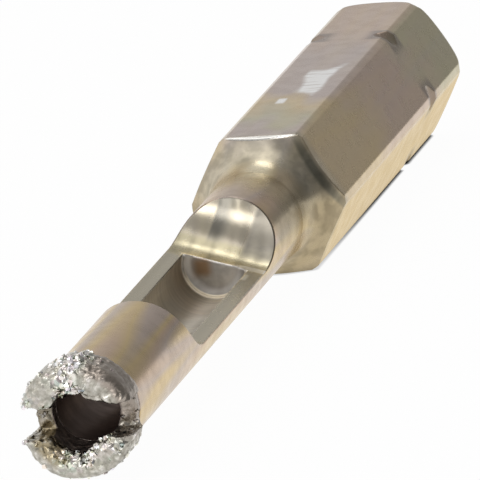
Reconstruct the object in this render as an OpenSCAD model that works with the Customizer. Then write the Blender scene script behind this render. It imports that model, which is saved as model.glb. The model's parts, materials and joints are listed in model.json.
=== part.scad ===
// Core drill bit for glass and tile.
// A hexagon bar is turned down to a slim hollow stem. The stem has a side window,
// through which the cored plug is pushed out, and a crown of diamond grit at its mouth.
// The bit lies on one flat of its shank, with the crown towards -Y.

/* [Overall] */
// Length of the whole bit, from the crown's face to the shank's end
overall_len = 57.7; // [52:0.1:75]

/* [Shank] */
// Width of the hexagon across its flats
shank_af = 6.35; // [5.6:0.05:8]
// Length of the flats, from the shoulder to the shank's end
shank_len = 23.6; // [14:0.1:26]
// How far the six long corners are turned in from the sharp hexagon
corner_break = 0.1; // [0.02:0.02:0.3]
// Radius of the turned rounding at the shank's end
end_round = 0.8; // [0.3:0.05:1]
// Distance from the shank's end to the middle of the retaining notches
notch_from_end = 6.1; // [3:0.1:12]
// Depth of the retaining notches in the long corners
notch_depth = 0.2; // [0.1:0.05:0.4]
// Radius of the round tool that turns the notches
notch_round = 0.8; // [0.5:0.05:1.5]

/* [Stem] */
// Outside diameter of the stem
stem_d = 4.5; // [3.8:0.1:5.2]
// Radius of the fillet that leads from the stem up to the shank
shoulder_round = 3.5; // [1.5:0.1:5]
// Diameter of the bore that takes the core
bore_d = 3; // [2:0.1:3.4]
// Depth of the bore's full diameter, from the crown's face
bore_depth = 24.1; // [18:0.1:27]
// Radius in the corner of the bore's flat end, beyond its full diameter
bore_corner = 0.5; // [0.2:0.05:0.8]

/* [Window] */
// Distance from the crown's face to the front of the window's flat floor
window_front = 13.85; // [10:0.05:16]
// Length of the window's flat floor
window_flat = 10.95; // [6:0.05:13]
// Diameter of the round cutter that leaves the window's curved ends
cutter_d = 6; // [5:0.1:9]
// Height of the window's floor above the stem's axis
window_floor = 0.12; // [-0.5:0.02:0.5]
// Turn of the window about the axis, away from the upper flat
window_turn = 17.5; // [-30:0.5:30]

/* [Crown] */
// Outside diameter of the crown
crown_d = 5.2; // [4.6:0.05:6.2]
// Length of the crown
crown_len = 2.4; // [2.2:0.1:4]
// Radius on the crown's cutting lip
lip_round = 0.5; // [0.1:0.05:0.6]
// Length of the curved run-out that ends the crown on the stem
crown_runout = 0.9; // [0.4:0.05:1.2]
// Width of the two water slots
slot_w = 1.5; // [0.8:0.05:2]
// Depth of the two water slots
slot_depth = 1.8; // [0.8:0.05:2]

/* [Hidden] */
$fn = 96;

// How far a cut runs past the surface that it opens
cut_past = 1;

stem_r = stem_d / 2;
bore_r = bore_d / 2;
crown_r = crown_d / 2;
cutter_r = cutter_d / 2;

// The hexagon: its flats, its sharp corners and the narrow lands that are turned on them
flat_r = shank_af / 2;
sharp_r = flat_r / cos(30);
corner_r = sharp_r - corner_break;

// The shoulder fillet rises from the stem and meets the flats where they start
fillet_middle_r = stem_r + shoulder_round;
fillet_left = max(0, fillet_middle_r - flat_r);
fillet_rise = sqrt(pow(shoulder_round, 2) - pow(fillet_left, 2));
stem_end = overall_len - shank_len - fillet_rise;

// The crown's run-out is an arc that leaves its outside smoothly and meets the stem
grit_rise = crown_r - stem_r;
runout_r = (pow(grit_rise, 2) + pow(crown_runout, 2)) / (2 * grit_rise);

// A lip keeps some flat between its outer and inner rounding
crown_wall = crown_r - bore_r;
lip_r = min(lip_round, 0.45 * crown_wall);

// Turns a piece drawn along +Z, from its tip, to lie along +Y on a flat of the shank
module lie_down() {
    translate([0, -overall_len / 2, flat_r])
        rotate([-90, 0, 0])
            children();
}

// What a rounding takes off a square corner at the origin
module corner_waste(r) {
    difference() {
        translate([-cut_past, -cut_past])
            square(r + cut_past);
        translate([r, r])
            circle(r = r);
    }
}

// Half section that the lathe leaves: the stem, the shoulder fillet, the corner lands and the rounded end
module turned_section() {
    difference() {
        translate([0, crown_len])
            square([corner_r, overall_len - crown_len]);
        translate([stem_r, crown_len - cut_past])
            square([corner_r, stem_end - crown_len + cut_past]);
        translate([fillet_middle_r, stem_end])
            circle(r = shoulder_round);
        translate([fillet_middle_r, stem_end])
            square([corner_r, shoulder_round]);
        translate([corner_r, overall_len])
            rotate(180)
                corner_waste(end_round);
    }
}

// Blind bore with a flat end and a rounded corner
module core_bore() {
    bore_end = bore_depth + bore_corner;
    rotate_extrude()
        difference() {
            square([bore_r, bore_end]);
            translate([bore_r, bore_end])
                rotate(180)
                    corner_waste(bore_corner);
        }
}

// Path of a round cutter that crosses the stem, sinks to the floor and runs along it
module window_cut() {
    across = stem_d + 2 * cut_past;
    rotate([0, 0, window_turn])
        rotate([180, -90, 0])
            translate([window_front, window_floor, 0])
                linear_extrude(height = across, center = true) {
                    square([window_flat, cutter_d]);
                    for (end = [0, window_flat])
                        translate([end, cutter_r])
                            circle(r = cutter_r);
                }
}

// Ring that the notches are turned with: it reaches the corners and misses the flats
module notch_ring() {
    translate([0, 0, overall_len - notch_from_end])
        rotate_extrude()
            translate([corner_r - notch_depth + notch_round, 0])
                circle(r = notch_round);
}

// Half section of the crown's ring: a rounded lip in front and a run-out that curves down to the stem
module crown_section() {
    runout_start = crown_len - crown_runout;
    difference() {
        translate([bore_r, 0])
            square([crown_wall, runout_start]);
        translate([bore_r, 0])
            corner_waste(lip_r);
        translate([crown_r, 0])
            mirror([1, 0])
                corner_waste(lip_r);
    }
    intersection() {
        translate([bore_r, runout_start])
            square([crown_wall, crown_runout]);
        translate([crown_r - runout_r, runout_start])
            circle(r = runout_r);
    }
}

// One pass across the crown. Outside the stem's own diameter it takes the grit off all the way back
module slot_cut() {
    across = crown_d + 2 * cut_past;
    translate([-across / 2, -slot_w / 2, -cut_past])
        cube([across, slot_w, slot_depth + cut_past]);
    difference() {
        translate([-across / 2, -slot_w / 2, -cut_past])
            cube([across, slot_w, crown_len + 2 * cut_past]);
        translate([0, 0, -2 * cut_past])
            cylinder(r = stem_r, h = crown_len + 4 * cut_past);
    }
}

// Steel bar: hexagon shank, shoulder, stem with its bore and window, retaining notches
module shank_body() {
    color("darkkhaki")
        lie_down()
            difference() {
                intersection() {
                    cylinder(r = sharp_r, h = overall_len, $fn = 6);
                    rotate_extrude()
                        turned_section();
                }
                core_bore();
                window_cut();
                notch_ring();
            }
}

// Ring of diamond grit that closes the stem's mouth, cut by two opposite water slots
module diamond_crown() {
    color("lightgray")
        lie_down()
            difference() {
                rotate_extrude()
                    crown_section();
                slot_cut();
            }
}

shank_body();
diamond_crown();
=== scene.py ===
"""Looks of the glass and tile drill bit: plated steel, a crown of diamond grit, a white studio."""

import json
import math
import random

import bmesh
import bpy
from mathutils import Matrix, Quaternion, Vector, noise


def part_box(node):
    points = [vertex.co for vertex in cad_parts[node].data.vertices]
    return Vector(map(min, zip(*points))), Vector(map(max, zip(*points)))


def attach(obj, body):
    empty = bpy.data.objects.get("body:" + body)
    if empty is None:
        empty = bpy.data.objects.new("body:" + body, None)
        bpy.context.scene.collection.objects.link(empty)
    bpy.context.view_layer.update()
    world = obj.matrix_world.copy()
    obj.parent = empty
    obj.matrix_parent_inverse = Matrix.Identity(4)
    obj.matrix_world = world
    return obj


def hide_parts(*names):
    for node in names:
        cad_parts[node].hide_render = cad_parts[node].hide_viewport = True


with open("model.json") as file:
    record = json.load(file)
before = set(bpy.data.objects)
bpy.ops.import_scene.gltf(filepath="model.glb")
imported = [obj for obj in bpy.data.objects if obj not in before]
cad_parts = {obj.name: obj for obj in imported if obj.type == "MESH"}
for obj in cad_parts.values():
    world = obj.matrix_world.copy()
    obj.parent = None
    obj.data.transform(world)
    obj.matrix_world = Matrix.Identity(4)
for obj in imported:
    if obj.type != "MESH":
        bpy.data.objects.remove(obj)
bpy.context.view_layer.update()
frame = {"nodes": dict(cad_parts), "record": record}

MM = 0.001
SEED = 5

# Sizes read from the solids, in millimetres. The bit's axis runs along Y, and depths are measured from the crown's
# face towards the shank's end.
crown_low, crown_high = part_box("diamond_crown")
body_low, body_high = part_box("shank_body")
FACE_Y = crown_low.y / MM
AXIS_Z = (crown_low.z + crown_high.z) / 2 / MM
BORE_R = next(m for m in frame["record"]["mounts"] if m["name"] == "core_bore")["dims"]["r_mm"]
CROWN_R = (crown_high.z - crown_low.z) / 2 / MM
CROWN_LEN = (crown_high.y - crown_low.y) / MM
FLAT_R = (body_high.z - body_low.z) / 2 / MM
STEM_R = max(
    math.hypot(v.co.x / MM, v.co.z / MM - AXIS_Z)
    for v in frame["nodes"]["shank_body"].data.vertices
    if v.co.y < body_low.y + 0.1 * MM
)

# Where the bar changes, as depths, and the window's turn to the right in degrees
WINDOW_FRONT = 13.0
BORE_END = 24.6
WINDOW_BACK = 29.6
FLATS_START = 34.1
SHANK_END = (body_high.y - crown_low.y) / MM
NOTCH_DEPTH = SHANK_END - 6.1
WINDOW_TURN = 17.5

# Tints of the plating, as linear colours, and their order along the stem and the flats
GOLD = (0.61, 0.47, 0.26)
LAVENDER = (0.49, 0.405, 0.365)
OLIVE = (0.48, 0.44, 0.29)
ROSE = (0.55, 0.415, 0.32)
CREAM = (0.60, 0.47, 0.265)
STEM_TINTS = [(0.28, LAVENDER), (0.38, GOLD), (0.47, ROSE), (0.55, LAVENDER), (0.64, GOLD), (0.72, ROSE)]
UPPER_BANDS = [(0.04, LAVENDER), (0.13, OLIVE), (0.26, GOLD), (0.36, LAVENDER), (0.60, LAVENDER), (0.80, ROSE)]
SIDE_BANDS = [(0.05, GOLD), (0.28, GOLD), (0.45, ROSE), (0.68, ROSE), (0.84, OLIVE)]

# The neck and the shoulder between the stem and the flats
NECK = (0.545, 0.455, 0.275)
NECK_SIDE_SHADE = (0.28, 0.24, 0.17)
NECK_HIGHLIGHT = (0.82, 0.76, 0.60)
BARE = (0.52, 0.495, 0.42)
BROWNED = (0.41, 0.325, 0.19)
SHADED = (0.17, 0.165, 0.13)

# The upper flat: a patch of painted highlight, a fleck painted pale, its worn front edge with a painted highlight,
# and darkening in the corner notches
HIGHLIGHT_PATCH_X = (-0.15, 1.05)
HIGHLIGHT_PATCH_DEPTH = (41.8, 46.2)
FLECK_X = (-0.70, -0.30)
FLECK_DEPTH = (40.1, 40.9)
PALE = (1.0, 0.99, 0.97)
WORN_EDGE_HIGHLIGHT = (0.95, 0.93, 0.88)
NOTCH_DARK = (0.16, 0.13, 0.12)

# The window
MILLED = (0.58, 0.53, 0.42)
LIP = (0.48, 0.45, 0.38)
NICK_HIGHLIGHT = (1.0, 0.97, 0.88)
LEDGE = (0.57, 0.51, 0.34)
LEDGE_LEFT = (0.33, 0.30, 0.21)
BURR_HIGHLIGHT = (1.0, 0.98, 0.94)
DULL = (0.36, 0.335, 0.295)
DARK_FACET_REFLECTION = (0.27, 0.255, 0.22)

# The bore's wall and its end
WALL_SHADED_LEFT = (0.40, 0.36, 0.30)
WALL_LIT_RIGHT = (0.76, 0.72, 0.65)
BORE_SHADE = (0.190, 0.155, 0.142)
END_DISC = (0.50, 0.47, 0.435)
END_CORNER = (0.48, 0.45, 0.415)
END_STAIN = (0.25, 0.22, 0.19)
END_RIM_HIGHLIGHT = (0.95, 0.86, 0.70)
RUST = (0.33, 0.18, 0.07)

# Tints of the gloss at grazing angles
WHITE = (1.0, 1.0, 1.0)
STEM_SHEEN = (1.0, 0.96, 0.87)
LOW_SHEEN = (1.0, 0.90, 0.68)
BORE_SHADE_SHEEN = (0.85, 0.77, 0.74)
MOUTH_SHADE_SHEEN = (0.85, 0.78, 0.74)

# Heights of the marks in the steel, in millimetres
WAVE_HEIGHT = 0.010
TURNED_HEIGHT = 0.0006
DRAWN_HEIGHT = 0.0008
CHATTER_HEIGHT = 0.20
EDGE_DROP = 0.13
EDGE_ROUND = 0.12

# The bond, from painted shade in its creases to painted light on its crests, its stains, and the grains from dull
# to clear
BOND_SHADE_TO_LIGHT = [
    (0.05, (0.17, 0.15, 0.12)),
    (0.28, (0.37, 0.35, 0.30)),
    (0.60, (0.53, 0.505, 0.445)),
    (1.00, (0.92, 0.89, 0.83)),
]
GRAIN_TINTS = [
    (0.0, (0.68, 0.64, 0.58)),
    (0.3, (0.90, 0.87, 0.82)),
    (0.7, (1.0, 0.95, 0.86)),
    (1.0, (0.95, 0.98, 1.0)),
]
BOND_RIGHT = (0.37, 0.315, 0.27)
BOND_STAIN = (0.34, 0.27, 0.15)
SLOT_FLOOR = (0.20, 0.16, 0.10)
CELLS_PER_MM = 4.2
SMOOTHEST = 0.08

# The crown's mesh: its face size, the depth where the bond starts to run on along the stem, lumps and grains
VOXEL = 0.045
RUN_START = 1.3
LUMPS_PER_MM = 2.3
LUMP_HEIGHT = 0.11
SWELL_HEIGHT = 0.10
FINE_HEIGHT = 0.03
SAG = 0.38
GRAINS = 210
GRAIN_SIZE = (0.14, 0.28)
HEAPED_EXTRA = 0.20
STRAY_GRAINS = 0.07

# Stretches of the crown: the turn of their middle and their reach to both sides in degrees, where 0 is up and 90 is
# +X, and their strength. The bulge and the hollow have theirs in millimetres.
SMOOTH_RIGHT = (60, 58, 1.0)
SMOOTH_BELOW = (190, 80, 0.85)
SMOOTH_UPPER_LEFT = (-50, 42, 0.8)
HEAP_TOP = (-6, 36, 1.0)
HEAP_BOTTOM = (188, 48, 1.0)
HEAP_LOWER_RIGHT = (132, 22, 0.6)
HEAP_OVER_SLOT = (-68, 20, 0.6)
HEAP_UNDER_SLOT = (-100, 20, 0.4)
RUN_TOP = (0, 60, 0.12)
RUN_UPPER_LEFT = (-48, 42, 0.75)
SAG_TOP = (8, 62, 1.0)
SAG_UPPER_RIGHT = (38, 28, 0.75)
SAG_LOWER_RIGHT = (146, 30, 1.0)
SAG_UPPER_LEFT = (-53, 40, 0.9)
BULGE_LOWER_LEFT = (-140, 50, 0.14)
HOLLOW_RIGHT = (112, 32, 0.13)

# The studio: the floor's half width in metres and its drop under the bit in millimetres, the share of it that shows
# as pure white, and the reach of the painted contact shadow where the bit touches it
FLOOR_HALF = 2.0
FLOOR_DROP = 0.02
FLOOR_WHITE = 0.97
PAPER = 0.9
CONTACT = 0.2
SKY_LEVEL = 0.5
SKY_LIMIT = 0.95

# Lamps, all aimed at the bit: name, place, width, length and power, in metres and watts
LAMPS = [
    ("overhead", (-0.10, 0.16, 0.65), 0.5, 0.36, 0.5),
    ("back", (-0.03, 0.43, 0.55), 0.25, 0.12, 0.24),
    ("front_high", (0.035, -0.46, 0.525), 0.3, 0.2, 0.55),
    ("front_left", (-0.35, -0.8, 0.4), 0.5, 0.5, 1.4),
]

# The photograph's camera, in millimetres and degrees, with its clipping range in metres
CAMERA_TARGET = Vector((0.15, -0.33, 3.175))
CAMERA_DISTANCE = 663.6
CAMERA_AZIMUTH = 15.92
CAMERA_ELEVATION = 14.49
CAMERA_ROLL = 7.37
CAMERA_LENS = 1117.0
CAMERA_SENSOR = 36.0
CAMERA_CLIP = (0.01, 20.0)


# Small helpers for node trees

class Tree:
    """Adds nodes to a tree and joins them in one call."""

    def __init__(self, tree):
        self.tree = tree
        tree.nodes.clear()

    def node(self, kind, inputs=None, **settings):
        made = self.tree.nodes.new(kind)
        for name, value in settings.items():
            setattr(made, name, value)
        for key, value in (inputs or {}).items():
            if isinstance(value, bpy.types.NodeSocket):
                self.tree.links.new(value, made.inputs[key])
            else:
                made.inputs[key].default_value = value
        return made

    def math(self, operation, a, b=0.0, clamp=False):
        made = self.node("ShaderNodeMath", {0: a, 1: b}, operation=operation, use_clamp=clamp)
        return made.outputs[0]

    def vector(self, operation, inputs):
        return self.node("ShaderNodeVectorMath", inputs, operation=operation).outputs[0]

    def product(self, *factors):
        result = factors[0]
        for factor in factors[1:]:
            result = self.math("MULTIPLY", result, factor)
        return result

    def total(self, *terms):
        result = terms[0]
        for term in terms[1:]:
            result = self.math("ADD", result, term)
        return result

    def largest(self, *values):
        result = values[0]
        for value in values[1:]:
            result = self.math("MAXIMUM", result, value)
        return result

    def span(self, value, low, high, to_low=0.0, to_high=1.0):
        """The value's way from low to high, eased, as a number between two others."""
        made = self.node(
            "ShaderNodeMapRange",
            {"Value": value, "From Min": low, "From Max": high, "To Min": to_low, "To Max": to_high},
            interpolation_type="SMOOTHSTEP",
        )
        return made.outputs["Result"]

    def between(self, value, low, high, edge):
        """1 where the value lies between low and high, eased over an edge on both sides."""
        return self.product(self.span(value, low - edge, low + edge), self.span(value, high + edge, high - edge))

    def noise(self, place, scale, offset=0.0, detail=3.0, distortion=0.0):
        """Noise with its own scale along X, Y and Z, in cells per millimetre."""
        moved = self.node("ShaderNodeMapping", {"Vector": place, "Scale": scale, "Location": (offset,) * 3})
        made = self.node(
            "ShaderNodeTexNoise",
            {"Vector": moved.outputs[0], "Scale": 1.0, "Detail": detail, "Distortion": distortion},
        )
        return made.outputs["Fac"]

    def attribute(self, name):
        return self.node("ShaderNodeAttribute", attribute_name=name).outputs["Fac"]

    def ramp(self, factor, stops):
        made = self.node("ShaderNodeValToRGB", {"Fac": factor})
        ramp = made.color_ramp
        while len(ramp.elements) < len(stops):
            ramp.elements.new(0.5)
        for element, (place, colour) in zip(ramp.elements, stops):
            element.position = place
            element.color = (*colour, 1)
        return made.outputs["Color"]

    def mix(self, factor, a, b, blend="MIX"):
        made = self.node("ShaderNodeMix", {"Factor": factor}, data_type="RGBA", blend_type=blend)
        for socket, value in ((made.inputs[6], a), (made.inputs[7], b)):
            if isinstance(value, bpy.types.NodeSocket):
                self.tree.links.new(value, socket)
            else:
                socket.default_value = (*value, 1)
        return made.outputs[2]

    def paint(self, colour, tint, amount, *masks):
        """The colour with a tint laid over it, as strong as the amount where all masks are 1."""
        return self.mix(self.product(*masks, amount), colour, tint)

    def grey(self, level):
        return self.node("ShaderNodeCombineColor", {0: level, 1: level, 2: level}).outputs[0]

    def dimmed(self, colour, level):
        return self.mix(1.0, colour, self.grey(level), blend="MULTIPLY")


def new_material(name):
    material = bpy.data.materials.new(name)
    material.use_nodes = True
    return material, Tree(material.node_tree)


def object_mm(t):
    """The place in millimetres, then X, the height over the axis, the depth and the distance from the axis."""
    coords = t.node("ShaderNodeTexCoord").outputs["Object"]
    place = t.vector("MULTIPLY", {0: coords, 1: (1 / MM,) * 3})
    x, y, z = t.node("ShaderNodeSeparateXYZ", {"Vector": place}).outputs
    up = t.math("SUBTRACT", z, AXIS_Z)
    radius = t.math("SQRT", t.math("ADD", t.product(x, x), t.product(up, up)))
    depth = t.math("SUBTRACT", y, FACE_Y)
    return place, x, up, depth, radius


# Plated steel: the tints of a thin passivation over turned and drawn metal

class Bar:
    """Places and masks on the bar that several parts of its material share.

    The turn is in radians from straight up, to either side.
    """

    def __init__(self, t):
        self.place, self.x, self.up, self.depth, self.radius = object_mm(t)
        self.turn = t.math("ABSOLUTE", t.math("ARCTAN2", self.x, self.up))
        self.wander = t.noise(self.place, (0.5, 0.2, 0.5), offset=9.0, detail=2.0)
        self.mottle = t.noise(self.place, (1.3, 1.3, 1.3), offset=4.0, detail=5.0)
        self.streaks = t.noise(self.place, (0.5, 3.5, 0.5), detail=2.0)
        self.find_flats(t)
        self.find_window(t)
        self.find_bore(t)

    def find_flats(self, t):
        """The shank, its lower flats, the shoulder, and the upper flat with its patch of painted highlight and its
        worn front edge, whose highlight is painted.
        """
        self.on_shank = t.span(self.depth, FLATS_START - 1.5, FLATS_START + 1.0)
        self.low_flats = t.span(self.turn, 1.55, 1.75)
        self.calm = t.math("SUBTRACT", 1.0, t.product(self.on_shank, t.span(self.turn, 1.5, 1.7)))
        self.shoulder = t.product(
            t.between(self.depth, FLATS_START - 3.0, FLATS_START + 0.4, 0.8),
            t.span(self.radius, STEM_R, STEM_R + 0.3),
        )
        self.on_top = t.span(self.up, FLAT_R - 0.1, FLAT_R - 0.02)
        ragged = t.span(self.wander, 0.3, 0.7, -0.3, 0.3)
        # A patch of painted highlight on the upper flat, ragged and streaked
        self.highlight_patch = t.product(
            self.on_top,
            t.between(t.math("ADD", self.x, ragged), *HIGHLIGHT_PATCH_X, 0.16),
            t.between(t.math("ADD", self.depth, t.product(ragged, 2.0)), *HIGHLIGHT_PATCH_DEPTH, 0.35),
            t.span(self.streaks, 0.30, 0.50, 0.5, 1.0),
        )
        self.front_edge = t.product(self.on_top, t.span(self.depth, FLATS_START + 0.5, FLATS_START))
        self.worn_edge_highlight = t.span(self.front_edge, 0.1, 0.4)

    def find_window(self, t):
        """The window, its floor, the painted highlight of the burr along the ledge's front edge, and the right side
        of the curved end.
        """
        tilt = math.radians(WINDOW_TURN)
        self.over_floor = t.math("ADD", t.product(self.up, math.cos(tilt)), t.product(self.x, math.sin(tilt)))
        self.across = t.math("SUBTRACT", t.product(self.x, math.cos(tilt)), t.product(self.up, math.sin(tilt)))
        self.in_window = t.product(
            t.between(self.depth, WINDOW_FRONT, WINDOW_BACK, 0.5),
            t.span(self.radius, STEM_R, STEM_R - 0.06),
        )
        self.on_floor = t.product(self.in_window, t.between(self.over_floor, 0.0, 0.3, 0.05))

        # The burr's painted highlight thickens towards the right
        thinned = t.math("SUBTRACT", self.depth, t.span(self.across, 0.2, 1.5, 0.0, 0.3))
        self.burr_highlight = t.product(
            self.on_floor,
            t.largest(t.span(self.radius, STEM_R - 0.4, BORE_R), t.span(self.across, 0.4, 1.0)),
            t.span(self.depth, BORE_END - 0.18, BORE_END - 0.02),
            t.span(thinned, BORE_END + 0.18, BORE_END + 0.02),
        )
        self.right_end = t.product(
            self.in_window,
            t.span(self.depth, BORE_END + 0.8, BORE_END + 1.5),
            t.span(self.across, 0.70, 0.95),
            t.span(self.mottle, 0.35, 0.55, 1.0, 0.75),
        )

    def find_bore(self, t):
        """The bore's wall, its stretch in front of the window where shade is painted, and its end."""
        self.bore_wall = t.product(
            t.between(self.radius, BORE_R - 0.08, BORE_R + 0.02, 0.02),
            t.span(self.depth, BORE_END, BORE_END - 0.4),
        )
        self.shaded_bore = t.product(self.bore_wall, t.span(self.depth, WINDOW_FRONT, WINDOW_FRONT - 3.0))
        self.bore_end = t.product(
            t.between(self.depth, BORE_END - 0.45, BORE_END + 0.02, 0.02),
            t.span(self.radius, BORE_R, BORE_R - 0.05),
        )


def plating(t, bar):
    """Slow tints drawn out along the stem, a browner neck with painted shade on its sides and a painted highlight
    on its top, and bands along the flats.
    """
    slow = t.noise(bar.place, (0.48, 0.05, 0.48), offset=2.0, detail=1.0, distortion=0.2)
    colour = t.ramp(slow, STEM_TINTS)
    colour = t.paint(colour, NECK, 0.6, t.between(bar.depth, WINDOW_BACK, FLATS_START, 1.0))
    # Painted shade along both sides of the neck
    neck_side_shade = t.product(
        t.between(bar.depth, BORE_END + 2.8, FLATS_START - 1.0, 0.7),
        t.between(bar.turn, 1.0, 1.65, 0.2),
    )
    colour = t.paint(colour, NECK_SIDE_SHADE, 0.85, neck_side_shade)
    # A painted highlight on top of the neck, in front of the shoulder
    neck_highlight = t.product(
        t.between(bar.x, -0.2, 0.9, 0.35),
        t.between(bar.depth, FLATS_START - 3.0, FLATS_START - 1.4, 0.5),
        t.span(bar.up, 1.6, 2.0),
    )
    colour = t.paint(colour, NECK_HIGHLIGHT, 0.7, neck_highlight)

    band_depth = t.math("ADD", bar.depth, t.span(bar.wander, 0.3, 0.7, -1.6, 1.6))
    along = t.math("DIVIDE", t.math("SUBTRACT", band_depth, FLATS_START), SHANK_END - FLATS_START)
    bands = t.mix(t.span(bar.turn, 0.42, 0.62), t.ramp(along, UPPER_BANDS), t.ramp(along, SIDE_BANDS))
    bands = t.mix(bar.low_flats, bands, CREAM)
    return t.paint(colour, bands, 0.85, bar.on_shank)


def shoulder_looks(t, bar, colour):
    """The shoulder is duller, brown at its sides and dark along the right flat. The mottle is strongest there."""
    colour = t.paint(colour, BARE, 0.6, bar.shoulder)
    colour = t.paint(colour, BROWNED, 0.8, bar.shoulder, t.span(bar.turn, 1.1, 1.6))
    tilt = math.pi / 6
    rightward = t.math("ADD", t.product(bar.x, math.cos(tilt)), t.product(bar.up, math.sin(tilt)))
    under_flat = t.math("SUBTRACT", FLAT_R, rightward)
    colour = t.paint(colour, SHADED, 0.85, bar.shoulder, t.between(under_flat, 0.06, 0.36, 0.08))
    strength = t.math("ADD", t.product(bar.shoulder, 0.25), t.product(bar.calm, 0.08))
    level = t.math("SUBTRACT", 1.06, t.product(strength, t.span(bar.mottle, 0.62, 0.36)))
    return t.dimmed(colour, level)


def shank_wear_and_highlights(t, bar, colour):
    """The upper flat's patch of painted highlight, the fleck in front of it painted pale, its worn front edge with
    a painted highlight, and darkening in the notches.
    """
    fleck = t.product(bar.on_top, t.between(bar.x, *FLECK_X, 0.08), t.between(bar.depth, *FLECK_DEPTH, 0.2))
    colour = t.mix(t.largest(bar.highlight_patch, fleck), colour, PALE)
    # The worn front edge, painted near white as a highlight
    colour = t.mix(bar.worn_edge_highlight, colour, WORN_EDGE_HIGHLIGHT)
    # The corner notches are darkened
    notch = t.product(
        t.between(bar.depth, NOTCH_DEPTH - 0.75, NOTCH_DEPTH + 0.75, 0.15),
        t.span(bar.radius, FLAT_R + 0.05, FLAT_R + 0.2),
    )
    return t.paint(colour, NOTCH_DARK, 0.6, notch)


def window_looks(t, bar, colour):
    """Bare milled steel: dull lips beside the bore, a yellow ledge behind it, and a curved end in facets, with a
    painted dark reflection on one of them.
    """
    colour = t.paint(colour, MILLED, 0.85, bar.in_window)
    lips = t.product(
        bar.in_window,
        t.between(bar.over_floor, 0.0, 0.2, 0.03),
        t.span(bar.depth, BORE_END, BORE_END - 0.6),
    )
    colour = t.paint(colour, LIP, 0.9, lips)
    ledge = t.product(
        bar.in_window,
        t.between(bar.over_floor, 0.0, 0.5, 0.1),
        t.span(bar.depth, BORE_END - 0.4, BORE_END),
    )
    colour = t.paint(colour, LEDGE, 0.8, ledge)
    # A painted highlight on the burr at the ledge's front edge
    colour = t.mix(bar.burr_highlight, colour, BURR_HIGHLIGHT)
    colour = t.paint(colour, DULL, 0.85, bar.right_end)
    # A painted dark reflection on one facet at the left of the curved end
    left_facet_reflection = t.product(
        bar.in_window,
        t.span(bar.depth, BORE_END + 1.2, BORE_END + 2.2),
        t.span(bar.across, -1.00, -0.85),
        t.span(bar.across, 0.1, -0.6),
    )
    colour = t.paint(colour, DARK_FACET_REFLECTION, 0.9, left_facet_reflection)
    colour = t.paint(colour, LEDGE_LEFT, 0.5, ledge, t.span(bar.across, -1.1, -1.5))
    # A painted highlight on a nick near the floor's right edge
    nick_highlight = t.product(
        bar.on_floor,
        t.between(bar.depth, BORE_END - 1.5, BORE_END - 0.7, 0.15),
        t.between(bar.across, 1.50, 1.72, 0.08),
    )
    return t.paint(colour, NICK_HIGHLIGHT, 0.9, nick_highlight)


def bore_looks(t, bar, colour):
    """A streaked wall with painted shade on its left and a painted reflection on its right, painted shade in front
    of the window, and a stained end with a painted highlight on its lower rim and a rusty spot.
    """
    # Painted shade on the wall's left and a painted reflection on its right
    wall = t.mix(t.span(bar.across, -0.5, 0.4), WALL_SHADED_LEFT, WALL_LIT_RIGHT)
    wall = t.dimmed(wall, t.span(bar.streaks, 0.35, 0.65, 0.88, 1.06))
    colour = t.paint(colour, wall, 0.9, bar.bore_wall)
    # Painted shade on the bore's wall in front of the window
    colour = t.mix(bar.shaded_bore, colour, BORE_SHADE)
    corner = t.between(bar.radius, BORE_R - 0.55, BORE_R - 0.12, 0.05)
    # A painted highlight along the lower rim of the bore's end
    rim_highlight = t.product(t.span(bar.radius, BORE_R - 0.16, BORE_R - 0.11), t.span(bar.up, 0.0, -0.8))
    rust = t.product(t.between(bar.x, -1.0, -0.25, 0.25), t.between(bar.up, -0.5, 0.3, 0.25))
    colour = t.paint(colour, END_DISC, 0.9, bar.bore_end)
    colour = t.paint(colour, END_CORNER, 0.9, bar.bore_end, corner)
    colour = t.paint(colour, END_STAIN, 0.35, bar.bore_end, t.span(bar.mottle, 0.6, 0.4))
    colour = t.mix(t.product(bar.bore_end, rim_highlight), colour, END_RIM_HIGHLIGHT)
    return t.paint(colour, RUST, 0.8, bar.bore_end, rust)


def bar_normal(t, bar):
    """Softened edges and slow waves, with marks of turning, drawing and milling, and the worn front edge."""
    waves = t.product(t.noise(bar.place, (0.45, 0.30, 0.45), offset=6.0, detail=1.0), WAVE_HEIGHT)
    outside = t.span(bar.radius, BORE_R + 0.1, STEM_R)
    turned = t.product(t.noise(bar.place, (0.5, 9.0, 0.5), detail=2.0), outside, TURNED_HEIGHT)
    drawn = t.product(t.noise(bar.place, (7.0, 0.4, 7.0), detail=2.0), DRAWN_HEIGHT)
    marks = t.node("ShaderNodeMix", {0: bar.on_shank, 2: turned, 3: drawn}, data_type="FLOAT").outputs[0]
    chatter = t.noise(bar.place, (0.9, 0.02, 0.02), offset=3.0, detail=1.0)
    milled = t.product(chatter, bar.in_window, t.math("SUBTRACT", 1.0, bar.bore_wall), CHATTER_HEIGHT)
    worn = t.product(bar.front_edge, -EDGE_DROP)
    height = t.math("ADD", t.product(t.math("ADD", waves, marks), bar.calm), t.math("ADD", milled, worn))
    soft_edges = t.node("ShaderNodeBevel", {"Radius": EDGE_ROUND * MM}, samples=8)
    bump = t.node("ShaderNodeBump", {
        "Height": height,
        "Strength": 1.0,
        "Distance": MM,
        "Normal": soft_edges.outputs["Normal"],
    })
    return bump.outputs["Normal"]


def bar_roughness(t, bar):
    """Duller at the shoulder, in the bore and on the window's right side, and brighter where the bar is worn."""
    shiny = t.largest(bar.worn_edge_highlight, bar.burr_highlight, bar.highlight_patch)
    return t.total(
        t.span(bar.mottle, 0.3, 0.7, 0.29, 0.21),
        t.product(bar.shoulder, 0.06),
        t.product(bar.bore_end, 0.30),
        t.product(bar.bore_wall, t.span(bar.streaks, 0.35, 0.65, 0.20, 0.14)),
        t.product(bar.right_end, 0.25),
        t.product(shiny, -0.12),
    )


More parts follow.
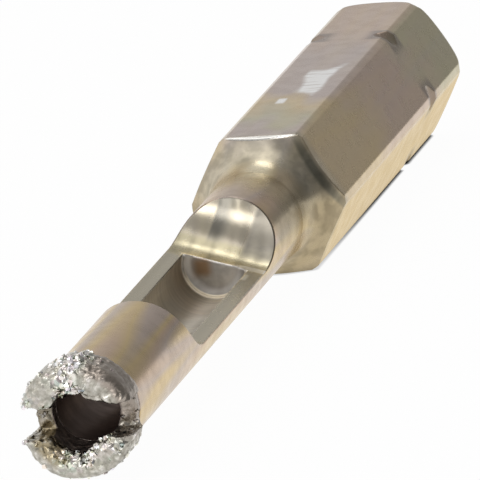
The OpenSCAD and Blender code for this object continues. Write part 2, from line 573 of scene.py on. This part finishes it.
def bar_sheen(t, bar):
    """Warm gloss on the stem and the lower flats, and a darker one as painted shade in the bore in front of the
    window.
    """
    sheen = t.mix(bar.low_flats, WHITE, LOW_SHEEN)
    sheen = t.mix(bar.on_shank, STEM_SHEEN, sheen)
    return t.mix(bar.shaded_bore, sheen, BORE_SHADE_SHEEN)


def plated_steel():
    material, t = new_material("passivated_steel")
    bar = Bar(t)
    colour = plating(t, bar)
    for looks in (shoulder_looks, shank_wear_and_highlights, window_looks, bore_looks):
        colour = looks(t, bar, colour)
    shader = t.node("ShaderNodeBsdfPrincipled", {
        "Base Color": colour,
        "Metallic": 1.0,
        "Specular Tint": bar_sheen(t, bar),
        "Roughness": bar_roughness(t, bar),
        "Normal": bar_normal(t, bar),
    })
    t.node("ShaderNodeOutputMaterial", {"Surface": shader.outputs["BSDF"]})
    return material


# Diamond grit in its bond: grains have their own brightness, the bond has painted shade in its creases and painted
# light on its crests and heaps

def glinting_normal(t, cells, heap):
    """In the heaps every small cell throws its light another way."""
    lean = t.vector("SUBTRACT", {0: cells, 1: (0.5, 0.5, 0.5)})
    lean = t.vector("SCALE", {0: lean, "Scale": heap})
    plain = t.node("ShaderNodeNewGeometry").outputs["Normal"]
    return t.vector("NORMALIZE", {0: t.vector("ADD", {0: plain, 1: lean})})


def grit_material():
    """The crown's material. Its turn is in radians from straight up, and negative on the left."""
    material, t = new_material("diamond_grit")
    place, x, up, depth, radius = object_mm(t)
    turn = t.math("ARCTAN2", x, up)
    grain = t.attribute("grain")
    heap = t.attribute("heap")
    is_grain = t.math("GREATER_THAN", grain, 0.01)
    fine = t.noise(place, (5.0, 5.0, 5.0), detail=4.0)
    # Painted shade in the bond's creases and painted light on its crests and heaps
    bond_shading = t.math("ADD", t.product(t.attribute("crest"), 0.6), t.span(fine, 0.3, 0.7, 0.0, 0.4))
    colour = t.mix(is_grain, t.ramp(bond_shading, BOND_SHADE_TO_LIGHT), t.ramp(grain, GRAIN_TINTS))

    # The right side is browner behind the lip, and the heaps glint in small cells, with a painted glint of random
    # tone and tint in each
    behind = t.largest(t.span(depth, 0.1, 0.45), t.span(radius, 1.9, 2.25))
    right = t.product(t.span(turn, 0.1, 0.4), t.span(turn, 2.15, 1.65), behind)
    colour = t.paint(colour, BOND_RIGHT, 0.85, right)
    cells = t.node("ShaderNodeTexVoronoi", {"Vector": place, "Scale": CELLS_PER_MM}).outputs["Color"]
    cell_tone = t.node("ShaderNodeSeparateColor", {0: cells}).outputs[0]
    painted_glint = t.mix(0.15, t.grey(t.span(cell_tone, 0.0, 0.45, 0.55, 1.0)), cells)
    colour = t.mix(heap, colour, painted_glint, blend="MULTIPLY")

    # Stains under the left slot, its floor darkened, and painted shade inside
    stained = t.product(t.between(turn, -2.7, -1.8, 0.2), t.span(radius, 2.4, 2.0), t.span(fine, 0.28, 0.5))
    colour = t.paint(colour, BOND_STAIN, 0.8, stained)
    slot = t.product(t.between(turn, -2.1, -1.0, 0.1), t.span(depth, 0.7, 1.6), t.span(radius, CROWN_R, 2.3))
    colour = t.paint(colour, SLOT_FLOOR, 0.6, slot)
    # Painted shade inside the crown's mouth, with a darker gloss
    inside = t.product(t.span(radius, BORE_R + 0.12, BORE_R), t.span(depth, 0.5, 1.0))
    colour = t.paint(colour, BORE_SHADE, 0.95, inside)

    roughness = t.total(
        t.span(fine, 0.3, 0.7, 0.42, 0.28),
        t.product(inside, 0.25),
        t.product(is_grain, -0.10),
        t.product(heap, -0.20),
    )
    shader = t.node("ShaderNodeBsdfPrincipled", {
        "Base Color": colour,
        "Metallic": 1.0,
        "Specular Tint": t.mix(inside, WHITE, MOUTH_SHADE_SHEEN),
        "Roughness": t.largest(roughness, SMOOTHEST),
        "Normal": glinting_normal(t, cells, heap),
    })
    t.node("ShaderNodeOutputMaterial", {"Surface": shader.outputs["BSDF"]})
    return material


# The crown: the CAD ring, made lumpy, with grains set in it

picker = random.Random(SEED)


def turn_of(place):
    """Turn of a point about the bit's axis, in degrees: 0 is up, 90 is +X."""
    return math.degrees(math.atan2(place.x, place.z - AXIS_Z))


def radius_of(place):
    return math.hypot(place.x, place.z - AXIS_Z)


def outward(place):
    return Vector((place.x, 0, place.z - AXIS_Z)).normalized()


def hump(angle, middle, reach, strength):
    """The strength at the middle angle, falling smoothly to 0 at the reach on both sides, in degrees."""
    off = abs((angle - middle + 180) % 360 - 180) / reach
    return 0.0 if off >= 1 else strength * (1 - off * off) ** 2


def clamp(value):
    return max(0.0, min(1.0, value))


def crown_mass():
    """The CAD crown in millimetres, as one mesh of small even faces."""
    rough = bmesh.new()
    rough.from_mesh(frame["nodes"]["diamond_crown"].data)
    bmesh.ops.scale(rough, vec=(1 / MM,) * 3, verts=rough.verts)
    bmesh.ops.remove_doubles(rough, verts=rough.verts, dist=1e-4)
    mesh = bpy.data.meshes.new("crown_mass")
    rough.to_mesh(mesh)
    rough.free()
    piece = bpy.data.objects.new("crown_mass", mesh)
    bpy.context.scene.collection.objects.link(piece)
    remesh = piece.modifiers.new("remesh", "REMESH")
    remesh.mode = "VOXEL"
    remesh.voxel_size = VOXEL
    graph = bpy.context.evaluated_depsgraph_get()
    fine = bpy.data.meshes.new_from_object(piece.evaluated_get(graph))
    bpy.data.objects.remove(piece)
    return fine


def smooth_share(place):
    """How far the bond lies smooth: on its right behind the lip, and partly underneath and at the upper left."""
    angle = turn_of(place)
    behind = clamp((place.y - FACE_Y) / 0.45)
    outside = clamp((radius_of(place) - 2.0) / 0.3)
    return max(
        hump(angle, *SMOOTH_RIGHT) * behind,
        hump(angle, *SMOOTH_BELOW) * outside,
        hump(angle, *SMOOTH_UPPER_LEFT),
    )


def crowd_at(place):
    """How densely grains sit: in heaps at the top, inside at the bottom, and on both ends of the left slot."""
    angle = turn_of(place)
    inner = 1 - clamp((radius_of(place) - 2.0) / 0.4)
    heaps = hump(angle, *HEAP_TOP) + inner * (hump(angle, *HEAP_BOTTOM) + hump(angle, *HEAP_LOWER_RIGHT))
    heaps += hump(angle, *HEAP_OVER_SLOT) + hump(angle, *HEAP_UNDER_SLOT)
    return heaps * (0.6 + 0.8 * noise.noise(place * 1.2)) + STRAY_GRAINS


def crest_at(place):
    """1 on top of a lump, 0 in the crease between two."""
    near = noise.voronoi(place * LUMPS_PER_MM)[0]
    return clamp((near[1] - near[0]) * 1.6)


def uneven(place, normal):
    """Where a point of the even crown goes: the bond runs on along the stem, sags in the mouth and is lumpy."""
    angle = turn_of(place)
    radius = radius_of(place)
    depth = place.y - FACE_Y
    moved = place.copy()
    if radius > STEM_R - 0.03 and depth > RUN_START:
        run = 1.0 + hump(angle, *RUN_TOP) + hump(angle, *RUN_UPPER_LEFT)
        run += 0.22 * noise.noise(Vector((angle * 0.07, 0, SEED)))
        moved.y = FACE_Y + RUN_START + (depth - RUN_START) * max(run, 0.97)
    if radius < (BORE_R + CROWN_R) / 2:
        sag = max(hump(angle, *SAG_TOP), hump(angle, *SAG_UPPER_LEFT), hump(angle, *SAG_LOWER_RIGHT))
        sag += hump(angle, *SAG_UPPER_RIGHT)
        moved -= outward(place) * SAG * clamp(1 - depth / 1.1) ** 0.5 * sag
    if radius > STEM_R:
        swell = hump(angle, *BULGE_LOWER_LEFT) - hump(angle, *HOLLOW_RIGHT)
        moved += outward(place) * swell * clamp(1 - depth / 1.6)
    lumps = LUMP_HEIGHT * (crest_at(moved) - 0.5)
    lumps += SWELL_HEIGHT * noise.noise(moved * 1.3) + FINE_HEIGHT * noise.noise(moved * 7)
    share = 0.25 if radius < BORE_R + 0.05 and depth > 0.4 else 0.8
    return moved + normal * lumps * share * (1 - 0.85 * smooth_share(place))


def grain_form():
    """Corners and faces of the plain grain."""
    ball = bmesh.new()
    bmesh.ops.create_icosphere(ball, subdivisions=1, radius=0.5)
    corners = [v.co.copy() for v in ball.verts]
    faces = [[v.index for v in f.verts] for f in ball.faces]
    ball.free()
    return corners, faces


def grain_at(corners, place, normal, size):
    """The corners of one grain, turned, stretched and broken at random, half sunk in the bond."""
    axis = Vector((picker.gauss(0, 1), picker.gauss(0, 1), picker.gauss(0, 1)))
    turn = Quaternion(axis.normalized(), picker.uniform(0, math.tau))
    middle = place + normal * size * picker.uniform(-0.35, 0.0)
    stretch = [picker.uniform(0.75, 1.25) for _ in range(3)]
    made = []
    for corner in corners:
        broken = [corner[i] * stretch[i] + picker.uniform(-0.14, 0.14) for i in range(3)]
        made.append(middle + turn @ (Vector(broken) * size))
    return made


def takes_grains(place):
    depth = place.y - FACE_Y
    return depth < CROWN_LEN - 0.35 and (radius_of(place) > BORE_R + 0.03 or depth < 0.6)


def build_crown():
    """The lumpy bond and its grains as one mesh, with what its material needs to know at each point."""
    mass = crown_mass()
    places = [uneven(v.co.copy(), v.normal.copy()) for v in mass.vertices]
    smooth = [smooth_share(v.co) for v in mass.vertices]
    heaps = [clamp(1.4 * crowd_at(v.co)) for v in mass.vertices]
    # Painted shade in the creases and painted light on the crests and most of all on the heaps; smooth stretches
    # sit in between
    shading_by_crest = [
        crest_at(place) * (1 - share) + 0.4 * share + 0.95 * heap
        for place, share, heap in zip(places, smooth, heaps)
    ]
    tints = [0.0] * len(places)
    faces = [list(p.vertices) for p in mass.polygons]
    bond_faces = len(faces)
    spots = [(p.center.copy(), p.normal.copy(), p.vertices[0]) for p in mass.polygons if takes_grains(p.center)]
    corners, corner_faces = grain_form()
    grains = 0
    while grains < GRAINS:
        centre, normal, nearest = picker.choice(spots)
        if picker.random() > crowd_at(centre) * (1 - hump(turn_of(centre), *SMOOTH_RIGHT)):
            continue
        start = len(places)
        size = picker.uniform(*GRAIN_SIZE) + HEAPED_EXTRA * crowd_at(centre) * picker.random()
        places.extend(grain_at(corners, places[nearest], normal, size))
        faces.extend([[start + i for i in face] for face in corner_faces])
        tints.extend([picker.uniform(0.05, 1.0)] * len(corners))
        shading_by_crest.extend([1.0] * len(corners))
        heaps.extend([0.8] * len(corners))
        grains += 1
    bpy.data.meshes.remove(mass)
    mesh = bpy.data.meshes.new("crown_grit")
    mesh.from_pydata([p * MM for p in places], [], faces)
    for name, values in (("grain", tints), ("crest", shading_by_crest), ("heap", heaps)):
        mesh.attributes.new(name, "FLOAT", "POINT").data.foreach_set("value", values)
    mesh.polygons.foreach_set("use_smooth", [i < bond_faces for i in range(len(faces))])
    mesh.update()
    crown = bpy.data.objects.new("crown_grit", mesh)
    bpy.context.scene.collection.objects.link(crown)
    return crown


# The studio: a white floor, a sky that is brighter on the left, and soft lamps

def floor_white():
    """Paper that shows as white and keeps the bit's faint cast shadow, with a painted contact shadow that is dark
    where they touch and faint under the stem.
    """
    material, t = new_material("floor_white")
    rays = t.node("ShaderNodeLightPath").outputs
    seen = t.math("ADD", rays["Is Camera Ray"], rays["Is Glossy Ray"], clamp=True)
    seen = t.math("ADD", seen, rays["Is Transmission Ray"], clamp=True)
    paper = t.node("ShaderNodeBsdfDiffuse", {"Color": (PAPER, PAPER, PAPER, 1)})
    open_sky = t.node("ShaderNodeAmbientOcclusion", {"Distance": CONTACT * MM}, samples=16).outputs["AO"]
    depth = object_mm(t)[3]
    # A painted contact shadow: darker where little sky is open, weaker towards the crown
    painted_contact_shadow = t.product(t.span(open_sky, 0.95, 0.2), t.span(depth, FLATS_START, FLATS_START + 12.0, 0.35, 1.0))
    glow = t.node("ShaderNodeEmission", {"Color": (1, 1, 1, 1), "Strength": t.math("SUBTRACT", 1.0, painted_contact_shadow)})
    both = t.node(
        "ShaderNodeMixShader",
        {0: t.product(seen, FLOOR_WHITE), 1: paper.outputs[0], 2: glow.outputs[0]},
    )
    t.node("ShaderNodeOutputMaterial", {"Surface": both.outputs[0]})
    return material


def studio_floor():
    half = FLOOR_HALF
    mesh = bpy.data.meshes.new("floor")
    mesh.from_pydata([(-half, -half, 0), (half, -half, 0), (half, half, 0), (-half, half, 0)], [], [(0, 1, 2, 3)])
    mesh.materials.append(floor_white())
    floor = bpy.data.objects.new("floor", mesh)
    floor.location.z = -FLOOR_DROP * MM
    bpy.context.scene.collection.objects.link(floor)


def sky():
    """A plain sky that fades from left to right, as beside a window."""
    world = bpy.data.worlds.new("studio")
    bpy.context.scene.world = world
    world.use_nodes = True
    t = Tree(world.node_tree)
    direction = t.node("ShaderNodeTexCoord").outputs["Generated"]
    rightward = t.node("ShaderNodeSeparateXYZ", {"Vector": direction}).outputs[0]
    fade = t.math("POWER", math.e, t.product(rightward, -1.0))
    level = t.math("MINIMUM", t.product(fade, SKY_LEVEL), SKY_LIMIT)
    light = t.node("ShaderNodeBackground", {"Color": (1, 1, 1, 1), "Strength": level})
    t.node("ShaderNodeOutputWorld", {"Surface": light.outputs[0]})


def soft_lamp(name, place, width, length, power):
    lamp = bpy.data.lights.new(name, "AREA")
    lamp.shape = "RECTANGLE"
    lamp.size = width
    lamp.size_y = length
    lamp.energy = power
    holder = bpy.data.objects.new(name, lamp)
    holder.location = place
    holder.rotation_euler = (-Vector(place)).to_track_quat("-Z", "Y").to_euler()
    bpy.context.scene.collection.objects.link(holder)


def photo_camera():
    azimuth, elevation, roll = (math.radians(a) for a in (CAMERA_AZIMUTH, CAMERA_ELEVATION, CAMERA_ROLL))
    back = Vector((
        math.sin(azimuth) * math.cos(elevation),
        -math.cos(azimuth) * math.cos(elevation),
        math.sin(elevation),
    ))
    level = Vector((math.cos(azimuth), math.sin(azimuth), 0))
    upright = back.cross(level)
    right = math.cos(roll) * level - math.sin(roll) * upright
    up = math.cos(roll) * upright + math.sin(roll) * level
    turn = Matrix((right, up, back)).transposed().to_4x4()
    data = bpy.data.cameras.new("photo_camera")
    data.sensor_width = CAMERA_SENSOR
    data.lens = CAMERA_LENS
    data.clip_start, data.clip_end = CAMERA_CLIP
    camera = bpy.data.objects.new("photo_camera", data)
    camera.matrix_world = Matrix.Translation((CAMERA_TARGET + back * CAMERA_DISTANCE) * MM) @ turn
    bpy.context.scene.collection.objects.link(camera)
    bpy.context.scene.camera = camera


body = frame["nodes"]["shank_body"]
body.data.materials.clear()
body.data.materials.append(plated_steel())

crown = build_crown()
crown.data.materials.append(grit_material())
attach(crown, "root")
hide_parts("diamond_crown")

studio_floor()
sky()
for lamp in LAMPS:
    soft_lamp(*lamp)
photo_camera()
bpy.context.scene.view_settings.view_transform = "Standard"
